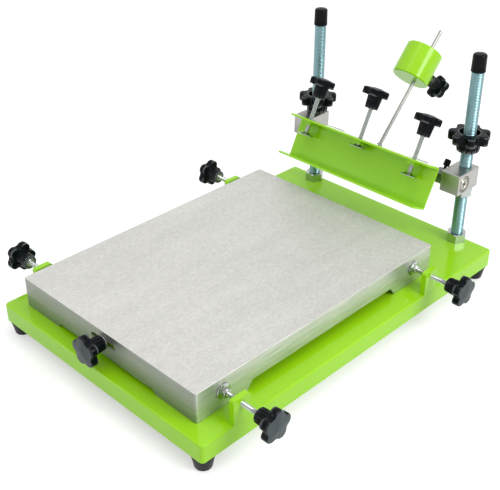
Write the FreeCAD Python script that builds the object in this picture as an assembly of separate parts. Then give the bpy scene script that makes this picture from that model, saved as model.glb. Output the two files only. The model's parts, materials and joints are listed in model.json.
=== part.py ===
import FreeCAD, Part
import math
import os

# Manual screen printing machine. Millimetres, Z up. X runs across from post to post, and the
# operator stands on the -Y side. Pieces are drawn about the middle of the base tray, on the floor,
# and then moved so that the origin is under the middle of the whole machine.

V = FreeCAD.Vector
UP = V(0, 0, 1)
ACROSS = V(1, 0, 0)

MIDDLE_Y = 45.01            # middle of the whole machine's length, from the middle of the tray

# Fits shared by several pieces
RUNNING_GAP = 0.06          # radial play where a piece turns or slides on a rod
FACE_GAP = 0.3              # gap between pieces that move against each other face to face

# Platen, whose size sets the tray's
PLATEN_WIDTH = 300.0
PLATEN_LENGTH = 400.0
PLATEN_HEIGHT = 38.6
SIDE_MARGIN = 25.0          # tray beside, in front of and behind the platen
FRONT_MARGIN = 19.0
BACK_MARGIN = 101.0

# Base tray, folded from sheet
BASE_WIDTH = PLATEN_WIDTH + 2 * SIDE_MARGIN
BASE_LENGTH = FRONT_MARGIN + PLATEN_LENGTH + BACK_MARGIN
BASE_SHEET = 2.0
SKIRT_HEIGHT = 23.0
BASE_CORNER = 5.0
RETURN_FLANGE = 32.0        # width of the inward flange under each long side
FOOT_HEIGHT = 18.0
FOOT_TOP_R = 13.0
FOOT_TIP_R = 10.0
FOOT_INSET = 13.0           # foot centre in from both edges of the tray
FOOT_ROUND = 1.5
DECK = FOOT_HEIGHT + SKIRT_HEIGHT

# The platen is an upside-down tray of thicker sheet with ground faces
PLATEN_SHEET = 3.0
PLATEN_CORNER = 3.0
PLATEN_EDGE = 0.8
PLATEN_Y = (FRONT_MARGIN - BACK_MARGIN) / 2
PLATEN_SHIFT = -3.2         # sideways setting at rest
SIDE_RECESS_END = 73.0      # what is left of each lower edge beside its recess
FRONT_RECESS_END = 64.0
SIDE_RECESS_LENGTH = PLATEN_LENGTH - 2 * SIDE_RECESS_END
SIDE_RECESS_HEIGHT = 11.0
SIDE_RECESS_SLOPE = 8.0
FRONT_RECESS_LENGTH = PLATEN_WIDTH - 2 * FRONT_RECESS_END
FRONT_RECESS_HEIGHT = 5.0
FRONT_RECESS_SLOPE = 4.0
SLOT_LENGTH = 42.0
SLOT_HEIGHT = 8.0
SLOT_Z = 24.5               # above the deck

# Screws with star knobs
SCREW_R = 3.0
SIDE_SCREW_INSET = 37.5     # side screws in from the platen's ends
SIDE_SCREW_Y = PLATEN_LENGTH / 2 - SIDE_SCREW_INSET
SIDE_SCREW_Z = 22.0         # above the deck
TAB_WIDTH = 24.0
TAB_HEIGHT = 30.0
TAB_THICK = 7.0
TAB_FOOT_R = 3.0            # fillet where a tab meets the deck
TAB_ROUND = 3.0
PAD_R = 9.5
PAD_THICK = 2.0
PAD_ROUND = 0.6
JAM_NUT_FLATS = 10.0
JAM_NUT_THICK = 5.0
SIDE_HUB_OUT = 23.5         # hub face of a side knob from the side of the tray
SIDE_KNOB_R = 19.0
CLAMP_KNOB_R = 18.5
WEIGHT_KNOB_R = 16.5
KNOB_LOBES = 5
KNOB_HUB = 16.5
KNOB_RIM = 9.0              # thickness of a knob's head at its lobes
KNOB_CROWN = 2.5            # rise of its face from the lobes to the middle
KNOB_SEAT = 9.0             # how far the screw is sunk in its knob
LOBE_SHARE = 0.32           # lobe radius, hollow and hub as shares of a knob's radius
BACK_HOLLOW = 0.70
FRONT_HOLLOW = 0.79
HUB_FACE = 0.47
HUB_ROOT = 0.53
SIDE_KNOB_TURN = 26.0       # how far each kind of knob was screwed round when the machine was set up
WEIGHT_KNOB_TURN = 20.0
LOCK_SCREW_X = -3.0
LOCK_BLOCK = (30.0, 14.0)   # width and depth of the lock block on the deck
LOCK_BLOCK_OVER = 8.0       # top of the lock block above its screw
LOCK_SCREW_SHORT = 1.0      # how far the lock screw's end stays inside its block
LOCK_BLOCK_GAP = 2.0        # between the lock block and the inside of the platen's front wall
WASHER_R = 8.5
WASHER_THICK = 1.5

# Posts
POST_R = 8.0
POST_INSET = (49.0, 10.5)   # post axis in from the side and from the back of the tray
POST_X = BASE_WIDTH / 2 - POST_INSET[0]
POST_Y = BASE_LENGTH / 2 - POST_INSET[1]
POST_TOP = 258.0            # above the deck
POST_NUT_FLATS = 24.0
POST_NUT_THICK = 12.0
POST_BELOW = 17.0           # how far a post reaches below the deck's top
POST_CHAMFER = 1.0
POST_BOSS = (34.0, 20.0)    # width and depth of the welded boss that a post is screwed into
CAP_R = 9.3
CAP_LENGTH = 23.0
CAP_ROOF = 2.0
CAP_ROUND = 2.5

# Bearing blocks, which slide on the posts
BLOCK = (28.0, 44.0, 28.0)
BLOCK_BACK = 10.5           # from the post axis to the back face
BLOCK_Z = 82.0              # underside above the deck
BLOCK_CHAMFER = 0.8
BEARING_OUT_R = 11.0
BEARING_IN_R = 7.6
BEARING_WIDTH = 6.0
BEARING_RIM = 2.2           # width of the outer ring, whose inner rings stand back by BEARING_STEP
BEARING_STEP = 0.7
SHAFT_R = 5.0
SHAFT_CHAMFER = 0.6
SHAFT_BORE_R = 7.5          # plain hole in a block behind its bearing
SHAFT_AHEAD = 21.3          # shaft axis in front of the post axes
SHAFT_Y = POST_Y - SHAFT_AHEAD
SHAFT_Z = 95.6              # above the deck

# Hand wheels on the posts
WHEEL_R = 27.0
WHEEL_LOBES = 7
WHEEL_LOBE_SHARE = 0.20     # lobe radius and hollow as shares of the wheel's radius
WHEEL_HOLLOW = 0.74
WHEEL_ROUND = 2.2
WHEEL_HEAD = 12.0
WHEEL_HUB = 13.5
WHEEL_HUB_FACE_R = 14.6
WHEEL_HUB_R = 15.6
WHEEL_DISH_R = 13.0
WHEEL_DISH = 7.0
RIGHT_WHEEL_LIFT = 21.7     # the right wheel is run up off its block

# Screen clamp, drawn level and then tilted about the shaft
CLAMP_TILT = 26.8
CHANNEL_INSET = 11.5        # ends of the channel and middles of the arms in from the post axes
ARM_INSET = 55.0
CHANNEL_LENGTH = 2 * (POST_X - CHANNEL_INSET)
CHANNEL_HEIGHT = 57.0
CHANNEL_DEPTH = 29.0
CHANNEL_SHEET = 2.5
CHANNEL_BEND = 3.5
CHANNEL_BEHIND = 28.1       # back of the web in front of the shaft axis
CHANNEL_ABOVE = 10.0        # top of the channel above the shaft axis
ARM_X = POST_X - ARM_INSET
ARM_WIDTH = 16.0
ARM_END_R = 10.0
STEM_FROM_END = 27.5        # outer screws in from the channel's ends
STEM_SHIFT = -1.5           # all three screws sit a little to the left
STEM_FROM_WEB = 17.0        # screw axis in front of the web's back face
DISC_R = 11.0
DISC_THICK = 2.5
WELD_NUT = 12.0             # square nuts under the top flange
WELD_NUT_THICK = 5.0
STEM_LENGTH = 53.0          # from the underside of the disc to the hub face
DISC_HEIGHTS = (34.5, 45.0, 34.5)   # undersides of the discs above the channel's underside
COLLAR_R = 10.5
COLLAR_WIDTH = 11.0
COLLAR_OFF = 1.0            # from the right block's inner face
COLLAR_CHAMFER = 0.7
THUMB_R = 4.2
THUMB_LENGTH = 9.0
THUMB_STEM_R = 2.0
THUMB_STEM = 3.0
THUMB_CHAMFER = 0.8

# Counterweight on its rod
ROD_R = 2.5
ROD_LEAN = 15.9             # back from upright when the clamp is level
ROD_LENGTH = 186.0
ROD_CHAMFER = 0.5
ROD_NUT_FROM = 1.0          # from the shaft's surface
ROD_NUT_FLATS = 8.0
ROD_NUT_THICK = 4.0
WEIGHT_R = 26.0
WEIGHT_OFFSET = -8.0        # centre of the weight from its rod along X
WEIGHT_LENGTH = 46.0
WEIGHT_AT = 108.5           # its lower face from the shaft axis, along the rod
WEIGHT_EDGE = 1.5
SET_SCREW_TURN = 78.0       # set screw's direction about the rod, from +X towards the back
SET_SCREW_AT = 16.0         # above the weight's lower face
SET_SCREW_OUT = 2.5         # bare length between the weight and the knob

PARTS = {}


def keep(name, shape):
    """Stores a finished piece under its node name."""
    PARTS[name] = shape


def box(x0, x1, y0, y1, z0, z1):
    return Part.makeBox(x1 - x0, y1 - y0, z1 - z0, V(x0, y0, z0))


def prism(points, along):
    """Straight-sided outline swept along a vector."""
    return Part.Face(Part.makePolygon(points + points[:1])).extrude(along)


def edges_at(shape, z):
    """Edges that lie flat at height z."""
    return [e for e in shape.Edges if abs(e.BoundBox.ZMin - z) < 0.01 and abs(e.BoundBox.ZMax - z) < 0.01]


def round_edges(shape):
    return [e for e in shape.Edges if isinstance(e.Curve, Part.Circle)]


def aimed(shape, place, axis):
    """Moves a shape drawn along +Z so that its origin is at place and +Z points along axis."""
    out = shape.copy()
    out.Placement = FreeCAD.Placement(place, FreeCAD.Rotation(UP, axis)).multiply(out.Placement)
    return out


def hexagon(flats, thick, bore):
    """Hexagon nut standing on z = 0, its corners eased by a cone."""
    corner = flats / math.sqrt(3)
    points = [V(corner * math.cos(math.radians(60 * i)), corner * math.sin(math.radians(60 * i)), 0)
              for i in range(6)]
    ease = corner - flats / 2
    nut = prism(points, UP * thick)
    round_over = Part.makeCylinder(corner, thick - ease)
    round_over = round_over.fuse(Part.makeCone(corner, flats / 2, ease, V(0, 0, thick - ease)))
    nut = nut.common(round_over)
    if bore:
        nut = nut.cut(Part.makeCylinder(bore, thick))
    return nut


def rounded_rectangle(half_x, half_y, radius, z):
    """Closed wire around the Z axis at height z."""
    edges = []
    corners = ((1, 1, 0), (-1, 1, 90), (-1, -1, 180), (1, -1, 270))
    for i, (sx, sy, start) in enumerate(corners):
        centre = V(sx * (half_x - radius), sy * (half_y - radius), z)
        edges.append(Part.makeCircle(radius, centre, UP, start, start + 90))
        after = corners[(i + 1) % 4]
        turn = math.radians(start + 90)
        a = centre + V(math.cos(turn), math.sin(turn), 0) * radius
        b = V(after[0] * (half_x - radius), after[1] * (half_y - radius), z)
        b = b + V(math.cos(turn), math.sin(turn), 0) * radius
        edges.append(Part.makeLine(a, b))
    return Part.Wire(Part.__sortEdges__(edges))


def rounded_slab(half_x, half_y, radius, z0, z1):
    return Part.Face(rounded_rectangle(half_x, half_y, radius, z0)).extrude(UP * (z1 - z0))


def lobed_outline(radius, valley, lobe_r, lobes):
    """Star outline of tangent arcs: round lobes reach radius and hollows between them reach valley."""
    half = math.pi / lobes
    lobe_at = radius - lobe_r
    reach = lobe_at * math.cos(half)
    across = valley ** 2 + lobe_at ** 2 - 2 * valley * reach - lobe_r ** 2
    hollow_r = across / (2 * (lobe_r + reach - valley))
    hollow_at = valley + hollow_r

    def polar(r, turn):
        return V(r * math.cos(turn), r * math.sin(turn), 0)

    edges = []
    for i in range(lobes):
        turn = 2 * math.pi * i / lobes
        lobe = polar(lobe_at, turn)
        before, after = polar(hollow_at, turn - half), polar(hollow_at, turn + half)
        start = lobe + (before - lobe).normalize() * lobe_r
        end = lobe + (after - lobe).normalize() * lobe_r
        following = polar(lobe_at, turn + 2 * half)
        next_start = following + (after - following).normalize() * lobe_r
        edges.append(Part.Arc(start, polar(radius, turn), end).toShape())
        edges.append(Part.Arc(end, polar(valley, turn + half), next_start).toShape())
    return Part.Wire(edges)


def crowned(head, radius, top, rise):
    """Rounds the face of a head over into a shallow dome that peaks at height top."""
    ball_r = (radius ** 2 + rise ** 2) / (2 * rise)
    return head.common(Part.makeSphere(ball_r, V(0, 0, top - ball_r)))


def star_knob(radius, screw_r, turned):
    """Star knob with its hub face at z = 0 and its head above. The hollows are deeper at the back."""
    top = KNOB_HUB + KNOB_RIM + KNOB_CROWN
    lobe_r = radius * LOBE_SHARE
    back = lobed_outline(radius, radius * BACK_HOLLOW, lobe_r, KNOB_LOBES)
    front = lobed_outline(radius, radius * FRONT_HOLLOW, lobe_r, KNOB_LOBES)
    back.translate(UP * KNOB_HUB)
    front.translate(UP * top)
    head = crowned(Part.makeLoft([back, front], True, True), radius, top, KNOB_CROWN)
    hub = Part.makeCone(radius * HUB_FACE, radius * HUB_ROOT, KNOB_HUB + 1.0)
    knob = head.fuse(hub).removeSplitter().cut(Part.makeCylinder(screw_r, KNOB_SEAT))
    knob.rotate(V(0, 0, 0), UP, turned)
    return knob


def hand_wheel():
    """Lobed hand wheel with its hub face at z = 0, bored to run on a post."""
    top = WHEEL_HUB + WHEEL_HEAD
    outline = lobed_outline(WHEEL_R, WHEEL_R * WHEEL_HOLLOW, WHEEL_R * WHEEL_LOBE_SHARE, WHEEL_LOBES)
    outline.translate(UP * WHEEL_HUB)
    head = Part.Face(outline).extrude(UP * WHEEL_HEAD)
    head = head.makeFillet(WHEEL_ROUND, edges_at(head, top))
    wheel = head.fuse(Part.makeCone(WHEEL_HUB_FACE_R, WHEEL_HUB_R, WHEEL_HUB + 1.0)).removeSplitter()
    wheel = wheel.cut(Part.makeCylinder(WHEEL_DISH_R, WHEEL_DISH, V(0, 0, top - WHEEL_DISH)))
    return wheel.cut(Part.makeCylinder(POST_R + RUNNING_GAP, top))


# Base tray with its welded tabs, post bosses and lock block
def base_tray():
    half_x, half_y = BASE_WIDTH / 2, BASE_LENGTH / 2
    tray = rounded_slab(half_x, half_y, BASE_CORNER, FOOT_HEIGHT, DECK)
    tray = tray.makeFillet(BASE_SHEET, edges_at(tray, DECK))
    inner = rounded_slab(half_x - BASE_SHEET, half_y - BASE_SHEET, BASE_CORNER - BASE_SHEET,
                         FOOT_HEIGHT, DECK - BASE_SHEET)
    for x0, x1 in ((-half_x, -half_x + RETURN_FLANGE), (half_x - RETURN_FLANGE, half_x)):
        inner = inner.cut(box(x0, x1, -half_y, half_y, FOOT_HEIGHT, FOOT_HEIGHT + BASE_SHEET))
    tray = tray.cut(inner)
    for side in (-1, 1):
        for end in (-1, 1):
            y = PLATEN_Y + end * SIDE_SCREW_Y
            low, high = DECK - BASE_SHEET / 2, DECK + TAB_HEIGHT
            outer = side * half_x
            inside = side * (half_x - TAB_THICK)
            x0, x1 = sorted((inside, outer))
            tab = box(x0, x1, y - TAB_WIDTH / 2, y + TAB_WIDTH / 2, low, high)
            tips = [e for e in tab.Edges if abs(e.BoundBox.ZMin - high) < 0.01
                    and e.BoundBox.XLength > TAB_THICK / 2 and e.BoundBox.YLength < 0.01]
            tab = tab.makeFillet(TAB_ROUND, tips)
            weld = box(*sorted((inside, inside - side * TAB_FOOT_R)), y - TAB_WIDTH / 2, y + TAB_WIDTH / 2,
                       DECK - BASE_SHEET / 2, DECK + TAB_FOOT_R)
            round_at = V(inside - side * TAB_FOOT_R, y - TAB_WIDTH / 2, DECK + TAB_FOOT_R)
            weld = weld.cut(Part.makeCylinder(TAB_FOOT_R, TAB_WIDTH, round_at, V(0, 1, 0)))
            hole = Part.makeCylinder(SCREW_R + RUNNING_GAP, TAB_THICK, V(x0, y, DECK + SIDE_SCREW_Z), ACROSS)
            tray = tray.fuse(tab).fuse(weld).cut(hole)
    wall = PLATEN_Y - PLATEN_LENGTH / 2 + PLATEN_SHEET
    lock = box(LOCK_SCREW_X - LOCK_BLOCK[0] / 2, LOCK_SCREW_X + LOCK_BLOCK[0] / 2,
               wall + LOCK_BLOCK_GAP, wall + LOCK_BLOCK_GAP + LOCK_BLOCK[1],
               DECK - BASE_SHEET / 2, DECK + SLOT_Z + LOCK_BLOCK_OVER)
    tray = tray.fuse(lock)
    tray = tray.cut(Part.makeCylinder(SCREW_R + RUNNING_GAP, LOCK_BLOCK[1],
                                      V(LOCK_SCREW_X, wall + LOCK_BLOCK_GAP, DECK + SLOT_Z), V(0, 1, 0)))
    for side in (-1, 1):
        x = side * POST_X
        tray = tray.fuse(box(x - POST_BOSS[0] / 2, x + POST_BOSS[0] / 2,
                             half_y - BASE_SHEET - POST_BOSS[1], half_y - BASE_SHEET / 2,
                             DECK - POST_BELOW + 1.0, DECK - BASE_SHEET / 2))
        tray = tray.cut(Part.makeCylinder(POST_R, POST_BELOW, V(x, POST_Y, DECK - POST_BELOW)))
    return tray.removeSplitter()


keep("base_tray", base_tray())

for end, end_name in ((-1, "front"), (1, "rear")):
    for side, side_name in ((-1, "left"), (1, "right")):
        at = V(side * (BASE_WIDTH / 2 - FOOT_INSET), end * (BASE_LENGTH / 2 - FOOT_INSET), 0)
        foot = Part.makeCone(FOOT_TIP_R, FOOT_TOP_R, FOOT_HEIGHT, at)
        keep("foot_%s_%s" % (end_name, side_name), foot.makeFillet(FOOT_ROUND, edges_at(foot, 0)))


# Platen
def trapezium_cut(half_length, height, slope, reach, along_y):
    """Prism that takes a sloped-end recess out of the lower edge of two opposite walls."""
    low = -1.0
    drop = slope * low / height
    outline = ((-half_length + drop, low), (half_length - drop, low),
               (half_length - slope, height), (-half_length + slope, height))
    if along_y:
        points = [V(-reach, y, DECK + FACE_GAP + z) for y, z in outline]
        return prism(points, V(2 * reach, 0, 0))
    points = [V(x, -reach, DECK + FACE_GAP + z) for x, z in outline]
    return prism(points, V(0, 2 * reach, 0))


def platen():
    half_x, half_y = PLATEN_WIDTH / 2, PLATEN_LENGTH / 2
    bottom, top = DECK + FACE_GAP, DECK + PLATEN_HEIGHT
    shell = rounded_slab(half_x, half_y, PLATEN_CORNER, bottom, top)
    shell = shell.makeFillet(PLATEN_EDGE, edges_at(shell, top))
    shell = shell.cut(rounded_slab(half_x - PLATEN_SHEET, half_y - PLATEN_SHEET, 0.5,
                                   bottom, top - PLATEN_SHEET))
    shell = shell.cut(trapezium_cut(SIDE_RECESS_LENGTH / 2, SIDE_RECESS_HEIGHT, SIDE_RECESS_SLOPE,
                                    half_x + 1, True))
    shell = shell.cut(trapezium_cut(FRONT_RECESS_LENGTH / 2, FRONT_RECESS_HEIGHT, FRONT_RECESS_SLOPE,
                                    half_y + 1, False))
    end = SLOT_LENGTH / 2 - SLOT_HEIGHT / 2
    slot = box(-end, end, -half_y - 1, -half_y + PLATEN_SHEET + 1,
               DECK + SLOT_Z - SLOT_HEIGHT / 2, DECK + SLOT_Z + SLOT_HEIGHT / 2)
    for x in (-end, end):
        slot = slot.fuse(Part.makeCylinder(SLOT_HEIGHT / 2, PLATEN_SHEET + 2,
                                           V(x, -half_y - 1, DECK + SLOT_Z), V(0, 1, 0)))
    shell = shell.cut(slot)
    shell.translate(V(PLATEN_SHIFT, PLATEN_Y, 0))
    return shell


keep("platen", platen())


# Screws that hold the platen
SIDE_KNOB = star_knob(SIDE_KNOB_R, SCREW_R, SIDE_KNOB_TURN)
for side, side_name in ((-1, "left"), (1, "right")):
    for end, end_name in ((-1, "front"), (1, "rear")):
        out = V(side, 0, 0)
        face = PLATEN_WIDTH / 2 + side * PLATEN_SHIFT + FACE_GAP
        start = V(side * face, PLATEN_Y + end * SIDE_SCREW_Y, DECK + SIDE_SCREW_Z)
        hub_x = BASE_WIDTH / 2 + SIDE_HUB_OUT
        length = hub_x + KNOB_SEAT - face
        pad = Part.makeCylinder(PAD_R, PAD_THICK)
        pad = pad.makeFillet(PAD_ROUND, edges_at(pad, PAD_THICK))
        nut = hexagon(JAM_NUT_FLATS, JAM_NUT_THICK, 0)
        nut.translate(UP * PAD_THICK)
        screw = pad.fuse(nut).fuse(Part.makeCylinder(SCREW_R, length)).removeSplitter()
        tag = "%s_%s" % (end_name, side_name)
        keep("side_screw_" + tag, aimed(screw, start, out))
        knob_at = V(side * hub_x, start.y, start.z)
        keep("side_knob_" + tag, aimed(SIDE_KNOB, knob_at, out))

front_wall = PLATEN_Y - PLATEN_LENGTH / 2
lock_face = V(LOCK_SCREW_X, front_wall - FACE_GAP, DECK + SLOT_Z)
lock_inner = PLATEN_SHEET + LOCK_BLOCK_GAP + LOCK_BLOCK[1] + FACE_GAP - LOCK_SCREW_SHORT
lock_screw = Part.makeCylinder(WASHER_R, WASHER_THICK)
lock_screw = lock_screw.fuse(Part.makeCylinder(SCREW_R, lock_inner + WASHER_THICK + KNOB_SEAT,
                                               V(0, 0, -lock_inner))).removeSplitter()
keep("lock_screw", aimed(lock_screw, lock_face, V(0, -1, 0)))
keep("lock_knob", aimed(SIDE_KNOB, lock_face + V(0, -WASHER_THICK, 0), V(0, -1, 0)))

# Posts, their nuts and caps
for side, side_name in ((-1, "left"), (1, "right")):
    foot_of_post = V(side * POST_X, POST_Y, DECK)
    post = Part.makeCylinder(POST_R, POST_TOP + POST_BELOW, foot_of_post - UP * POST_BELOW)
    keep("post_" + side_name, post.makeChamfer(POST_CHAMFER, round_edges(post)))
    nut = hexagon(POST_NUT_FLATS, POST_NUT_THICK, POST_R)
    nut.translate(foot_of_post)
    keep("post_nut_" + side_name, nut)
    cap = Part.makeCylinder(CAP_R, CAP_LENGTH)
    cap = cap.makeFillet(CAP_ROUND, edges_at(cap, CAP_LENGTH))
    cap = cap.cut(Part.makeCylinder(POST_R, CAP_LENGTH - CAP_ROOF))
    cap.translate(foot_of_post + UP * (POST_TOP + CAP_ROOF - CAP_LENGTH))
    keep("post_cap_" + side_name, cap)

# Bearing blocks, bearings, the nuts under them and the hand wheels over them
shaft_centre = V(0, SHAFT_Y, DECK + SHAFT_Z)
for side, side_name, lift in ((-1, "left", FACE_GAP), (1, "right", RIGHT_WHEEL_LIFT)):
    x = side * POST_X
    low = DECK + BLOCK_Z
    back = POST_Y + BLOCK_BACK
    block = box(x - BLOCK[0] / 2, x + BLOCK[0] / 2, back - BLOCK[1], back, low, low + BLOCK[2])
    block = block.makeChamfer(BLOCK_CHAMFER, block.Edges)
    block = block.cut(Part.makeCylinder(POST_R + RUNNING_GAP, BLOCK[2], V(x, POST_Y, low)))
    outer = x + side * BLOCK[0] / 2
    inward = V(-side, 0, 0)
    centre = V(outer, SHAFT_Y, DECK + SHAFT_Z)
    block = block.cut(Part.makeCylinder(SHAFT_BORE_R, BLOCK[0], centre, inward))
    block = block.cut(Part.makeCylinder(BEARING_OUT_R, BEARING_WIDTH, centre, inward))
    keep("block_" + side_name, block)
    ring = Part.makeCylinder(BEARING_OUT_R, BEARING_WIDTH, centre, inward)
    ring = ring.cut(Part.makeCylinder(SHAFT_R + RUNNING_GAP, BEARING_WIDTH, centre, inward))
    step = Part.makeCylinder(BEARING_OUT_R - BEARING_RIM, BEARING_STEP, centre, inward)
    step = step.cut(Part.makeCylinder(BEARING_IN_R, BEARING_STEP, centre, inward))
    keep("bearing_" + side_name, ring.cut(step))
    nut = hexagon(POST_NUT_FLATS, POST_NUT_THICK, POST_R + RUNNING_GAP)
    nut.translate(V(x, POST_Y, low - POST_NUT_THICK))
    keep("block_nut_" + side_name, nut)
    wheel = hand_wheel()
    wheel.translate(V(x, POST_Y, low + BLOCK[2] + lift))
    keep("hand_wheel_" + side_name, wheel)

# Screen clamp, drawn level in the frame whose origin is the middle of the shaft
web_back = -CHANNEL_BEHIND
mouth = web_back - CHANNEL_DEPTH
channel_top = CHANNEL_ABOVE
channel_low = channel_top - CHANNEL_HEIGHT
half_channel = CHANNEL_LENGTH / 2
channel = box(-half_channel, half_channel, mouth, web_back, channel_low, channel_top)
bends = [e for e in channel.Edges if abs(e.BoundBox.YMin - web_back) < 0.01
         and abs(e.BoundBox.YMax - web_back) < 0.01 and e.BoundBox.XLength > half_channel]
channel = channel.makeFillet(CHANNEL_BEND, bends)
hollow = box(-half_channel, half_channel, mouth, web_back - CHANNEL_SHEET,
             channel_low + CHANNEL_SHEET, channel_top - CHANNEL_SHEET)
channel = channel.cut(hollow)
stem_y = web_back - STEM_FROM_WEB
under_flange = channel_top - CHANNEL_SHEET
spacing = half_channel - STEM_FROM_END
stems_x = (STEM_SHIFT - spacing, STEM_SHIFT, STEM_SHIFT + spacing)
for x in stems_x:
    half_nut = WELD_NUT / 2
    channel = channel.fuse(box(x - half_nut, x + half_nut, stem_y - half_nut, stem_y + half_nut,
                               under_flange - WELD_NUT_THICK, under_flange))
    channel = channel.cut(Part.makeCylinder(SCREW_R + RUNNING_GAP, WELD_NUT_THICK + CHANNEL_SHEET,
                                            V(x, stem_y, under_flange - WELD_NUT_THICK)))
channel = channel.removeSplitter()

level = {"channel": channel}
for side, side_name in ((-1, "left"), (1, "right")):
    x0 = side * ARM_X - ARM_WIDTH / 2
    arm = box(x0, x0 + ARM_WIDTH, web_back, 0, -ARM_END_R, ARM_END_R)
    arm = arm.fuse(Part.makeCylinder(ARM_END_R, ARM_WIDTH, V(x0, 0, 0), ACROSS)).removeSplitter()
    level["arm_" + side_name] = arm.cut(Part.makeCylinder(SHAFT_R, ARM_WIDTH, V(x0, 0, 0), ACROSS))

half_shaft = POST_X + BLOCK[0] / 2
lean = math.radians(ROD_LEAN)
rod_axis = V(0, math.sin(lean), math.cos(lean))
shaft = Part.makeCylinder(SHAFT_R, 2 * half_shaft, V(-half_shaft, 0, 0), ACROSS)
shaft = shaft.makeChamfer(SHAFT_CHAMFER, [e for e in shaft.Edges if e.BoundBox.XLength < 0.01])
level["shaft"] = shaft.cut(Part.makeCylinder(ROD_R, SHAFT_R + 1, V(0, 0, 0), rod_axis))

rod = Part.makeCylinder(ROD_R, ROD_LENGTH)
rod = rod.makeChamfer(ROD_CHAMFER, edges_at(rod, ROD_LENGTH))
rod_nut = hexagon(ROD_NUT_FLATS, ROD_NUT_THICK, 0)
rod_nut.translate(UP * (SHAFT_R + ROD_NUT_FROM))
level["weight_rod"] = aimed(rod.fuse(rod_nut).removeSplitter(), V(0, 0, 0), rod_axis)

collar_x = POST_X - BLOCK[0] / 2 - COLLAR_OFF - COLLAR_WIDTH
collar = Part.makeCylinder(COLLAR_R, COLLAR_WIDTH, V(collar_x, 0, 0), ACROSS)
collar = collar.makeChamfer(COLLAR_CHAMFER, [e for e in collar.Edges if e.BoundBox.XLength < 0.01])
thumb = Part.makeCylinder(THUMB_STEM_R, COLLAR_R + THUMB_STEM + 1)
thumb_head = Part.makeCylinder(THUMB_R, THUMB_LENGTH, V(0, 0, COLLAR_R + THUMB_STEM))
thumb_head = thumb_head.makeChamfer(THUMB_CHAMFER, round_edges(thumb_head))
thumb = thumb.fuse(thumb_head)
thumb = aimed(thumb, V(collar_x + COLLAR_WIDTH / 2, 0, 0), V(0, math.sin(lean / 2), math.cos(lean / 2)))
collar = collar.fuse(thumb).removeSplitter()
level["stop_collar"] = collar.cut(Part.makeCylinder(SHAFT_R, COLLAR_WIDTH, V(collar_x, 0, 0), ACROSS))

CLAMP_KNOB = star_knob(CLAMP_KNOB_R, SCREW_R, 0)
for x, height, tag in zip(stems_x, DISC_HEIGHTS, ("left", "middle", "right")):
    at = V(x, stem_y, channel_low + height)
    disc = Part.makeCylinder(DISC_R, DISC_THICK)
    stem = disc.fuse(Part.makeCylinder(SCREW_R, STEM_LENGTH + KNOB_SEAT)).removeSplitter()
    level["clamp_screw_" + tag] = aimed(stem, at, UP)
    level["clamp_knob_" + tag] = aimed(CLAMP_KNOB, at + UP * STEM_LENGTH, UP)

weight_foot = rod_axis * WEIGHT_AT + ACROSS * WEIGHT_OFFSET
turn = math.radians(SET_SCREW_TURN)
up_front = ACROSS.cross(rod_axis)
screw_axis = ACROSS * math.cos(turn) - up_front * math.sin(turn)
screw_from = rod_axis * (WEIGHT_AT + SET_SCREW_AT)
wall_at = math.sqrt(WEIGHT_R ** 2 - (WEIGHT_OFFSET * math.sin(turn)) ** 2) + WEIGHT_OFFSET * math.cos(turn)
weight = Part.makeCylinder(WEIGHT_R, WEIGHT_LENGTH, weight_foot, rod_axis)
weight = weight.makeChamfer(WEIGHT_EDGE, round_edges(weight))
weight = weight.cut(Part.makeCylinder(ROD_R + RUNNING_GAP, WEIGHT_LENGTH, rod_axis * WEIGHT_AT, rod_axis))
tip_at = ROD_R + FACE_GAP
set_length = wall_at + SET_SCREW_OUT + KNOB_SEAT - tip_at
set_screw = Part.makeCylinder(SCREW_R, set_length, screw_from + screw_axis * tip_at, screw_axis)
level["counterweight"] = weight.cut(set_screw)
level["weight_screw"] = set_screw
WEIGHT_KNOB = star_knob(WEIGHT_KNOB_R, SCREW_R, WEIGHT_KNOB_TURN)
level["weight_knob"] = aimed(WEIGHT_KNOB, screw_from + screw_axis * (wall_at + SET_SCREW_OUT), screw_axis)

for name, shape in level.items():
    tilted = shape.copy()
    tilted.rotate(V(0, 0, 0), ACROSS, -CLAMP_TILT)
    tilted.translate(shaft_centre)
    keep(name, tilted)

os.makedirs("parts", exist_ok=True)
for name, shape in PARTS.items():
    shape.translate(V(0, -MIDDLE_Y, 0))
    shape.exportStep("parts/%s.step" % name)
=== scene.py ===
"""Looks of the manual screen printing machine: finishes for its steel, paint, rubber and plastic,
threads on its posts and screws, star knobs, bearings, caps and feet, and a plain white studio."""
import json
import math

import bmesh
import bpy
from mathutils import Matrix, Vector


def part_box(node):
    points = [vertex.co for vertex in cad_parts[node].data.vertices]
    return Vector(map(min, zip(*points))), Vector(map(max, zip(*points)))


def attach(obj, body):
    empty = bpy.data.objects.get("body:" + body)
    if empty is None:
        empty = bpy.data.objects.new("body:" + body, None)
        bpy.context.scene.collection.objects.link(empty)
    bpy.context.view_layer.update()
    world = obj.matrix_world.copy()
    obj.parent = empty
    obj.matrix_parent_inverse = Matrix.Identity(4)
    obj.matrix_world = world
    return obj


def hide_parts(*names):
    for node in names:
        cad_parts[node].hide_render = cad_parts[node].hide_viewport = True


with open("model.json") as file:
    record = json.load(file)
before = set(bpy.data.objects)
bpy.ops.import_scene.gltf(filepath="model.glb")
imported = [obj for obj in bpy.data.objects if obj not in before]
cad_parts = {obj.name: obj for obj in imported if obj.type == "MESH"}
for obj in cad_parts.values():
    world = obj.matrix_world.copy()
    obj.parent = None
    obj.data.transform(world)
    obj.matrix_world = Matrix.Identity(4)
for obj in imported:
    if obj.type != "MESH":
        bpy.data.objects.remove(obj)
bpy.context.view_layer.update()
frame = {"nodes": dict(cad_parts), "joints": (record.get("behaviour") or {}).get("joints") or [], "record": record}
nodes = frame["nodes"]

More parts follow.
